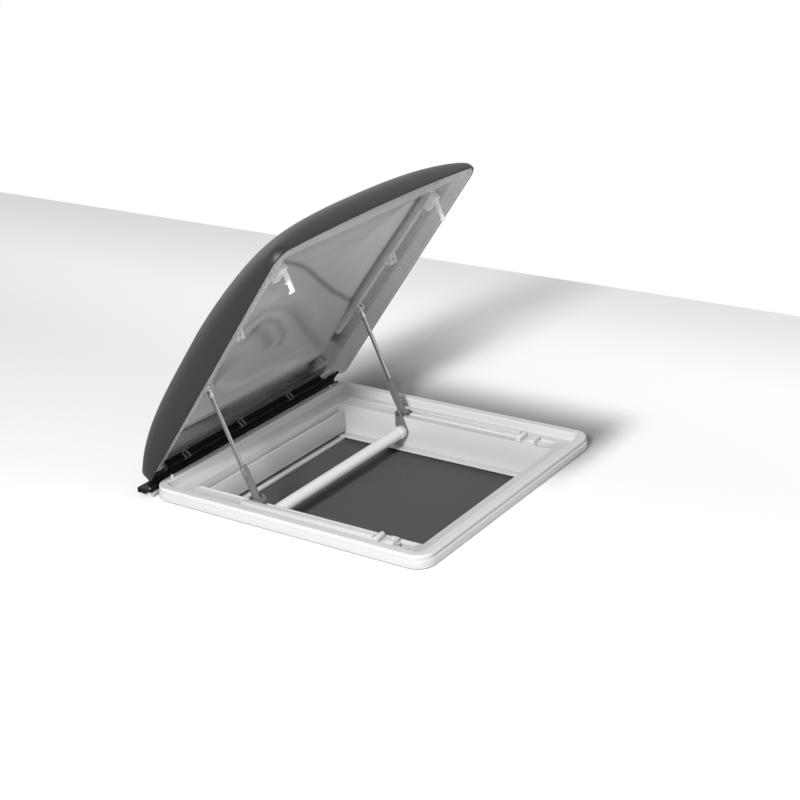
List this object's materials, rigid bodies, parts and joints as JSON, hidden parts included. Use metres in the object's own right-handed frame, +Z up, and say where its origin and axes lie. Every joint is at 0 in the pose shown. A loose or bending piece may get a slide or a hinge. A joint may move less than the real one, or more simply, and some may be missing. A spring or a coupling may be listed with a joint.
{
  "type": "caravan roof vent",
  "caption": "Hinged double-skin rooflight dome on a roof frame, held open by two rods on sliding feet with a bow handle, over an insect screen and a blind.",
  "frame": {"origin": "middle of the roof cut-out, on the upper surface of the roof", "axes": "+Z up out of the roof, +Y from the opening edge to the hinge, +X to the right seen from the opening edge"},
  "size_m": [0.518, 0.5531, 0.5378],
  "materials": {
    "white_plastic": "satin moulded white plastic",
    "white_rubber": "smooth white sealing rubber",
    "black_rubber": "matt black rubber",
    "black_plastic": "satin black extruded plastic",
    "grey_plastic": "satin mid-grey glass-filled plastic",
    "steel": "plain steel",
    "zinc_plate": "zinc-plated sheet steel",
    "aluminium": "drawn aluminium",
    "polished_rod": "polished steel rod",
    "painted_tube": "white powder-coated aluminium tube",
    "dark_mesh": "fine dark insect mesh",
    "blind_fabric": "pleated light-tight fabric",
    "brush_pile": "short grey-brown brush pile",
    "tinted_acrylic": "dark tinted glossy acrylic",
    "clear_acrylic": "lightly tinted glossy acrylic",
    "clear_plastic": "clear plastic"
  },
  "bodies": {
    "frame": {"roof_frame": "white_plastic", "roof_gasket": "black_rubber", "lip_seal": "white_rubber", "hinge_base": "black_plastic", "hinge_pin": "steel", "guide_rail_left": "white_plastic", "guide_rail_right": "white_plastic", "rail_stop_left": "white_plastic", "rail_stop_right": "white_plastic", "catch_block_left": "white_plastic", "catch_block_right": "white_plastic", "rear_fascia": "white_plastic", "corner_pegs": "white_plastic", "hinge_end_blocks": "grey_plastic", "ceiling_frame": "white_plastic", "clamp_plates": "zinc_plate", "clamp_screws": "steel", "track_left": "white_plastic", "track_right": "white_plastic", "screen_cassette": "white_plastic", "screen_roller": "aluminium", "insect_screen": "dark_mesh", "blind_end_strip": "white_plastic", "blackout_blind": "blind_fabric"},
    "lid": {"outer_dome": "tinted_acrylic", "inner_pane": "clear_acrylic", "lid_rim": "clear_acrylic", "lid_hinge_profile": "black_plastic", "pane_clips": "clear_plastic", "lid_rail_left": "white_plastic", "lid_rail_right": "white_plastic", "mid_hook_left": "white_plastic", "mid_hook_right": "white_plastic", "latch_bracket_left": "white_plastic", "latch_bracket_right": "white_plastic", "latch_screws": "steel", "stay_top_pins": "steel"},
    "stay_left": {"stay_rod_left": "polished_rod", "stay_top_end_left": "steel", "stay_foot_left": "grey_plastic"},
    "stay_right": {"stay_rod_right": "polished_rod", "stay_top_end_right": "steel", "stay_foot_right": "grey_plastic"},
    "carriage_left": {"carriage_left": "grey_plastic", "carriage_pin_left": "steel"},
    "carriage_right": {"carriage_right": "grey_plastic", "carriage_pin_right": "steel"},
    "bow": {"bow_tube": "painted_tube", "bow_collars": "white_plastic", "bow_bracket_left": "grey_plastic", "bow_bracket_right": "grey_plastic"},
    "insect_screen_bar": {"screen_bar": "white_plastic", "screen_bar_brush": "brush_pile"},
    "blackout_blind_bar": {"blind_bar": "white_plastic", "blind_bar_grip": "white_plastic"}
  },
  "joints": [
    {"name": "lid_hinge", "type": "hinge", "parent": "frame", "child": "lid", "pos_m": [0, 0.258, 0.0165], "axis": [1, 0, 0], "range_deg": [0, 54.1]},
    {"name": "stay_left_top", "type": "hinge", "parent": "lid", "child": "stay_left", "pos_m": [-0.198, 0.16046, 0.18638], "axis": [1, 0, 0], "range_deg": [-113.5, 0]},
    {"name": "stay_right_top", "type": "hinge", "parent": "lid", "child": "stay_right", "pos_m": [0.198, 0.16046, 0.18638], "axis": [1, 0, 0], "range_deg": [-113.5, 0]},
    {"name": "carriage_left_pivot", "type": "hinge", "parent": "stay_left", "child": "carriage_left", "pos_m": [-0.1954, 0.08416, 0.0139], "axis": [1, 0, 0], "range_deg": [0, 59.4]},
    {"name": "carriage_right_pivot", "type": "hinge", "parent": "stay_right", "child": "carriage_right", "pos_m": [0.1954, 0.08416, 0.0139], "axis": [1, 0, 0], "range_deg": [0, 59.4]},
    {"name": "bow_pivot", "type": "hinge", "parent": "carriage_left", "child": "bow", "pos_m": [-0.184, 0.08416, 0.0139], "axis": [1, 0, 0], "range_deg": [-35, 55]},
    {"name": "screen_slide", "type": "slide", "parent": "frame", "child": "insect_screen_bar", "axis": [0, -1, 0], "range_m": [0, 0.38]},
    {"name": "blind_slide", "type": "slide", "parent": "frame", "child": "blackout_blind_bar", "axis": [0, 1, 0], "range_m": [0, 0.34]}
  ],
  "couplings": [
    {"joint": "stay_left_top", "follows": "lid_hinge", "ratio": -2.0919},
    {"joint": "stay_right_top", "follows": "lid_hinge", "ratio": -2.0919},
    {"joint": "carriage_left_pivot", "follows": "lid_hinge", "ratio": 1.0919},
    {"joint": "carriage_right_pivot", "follows": "lid_hinge", "ratio": 1.0919}
  ]
}
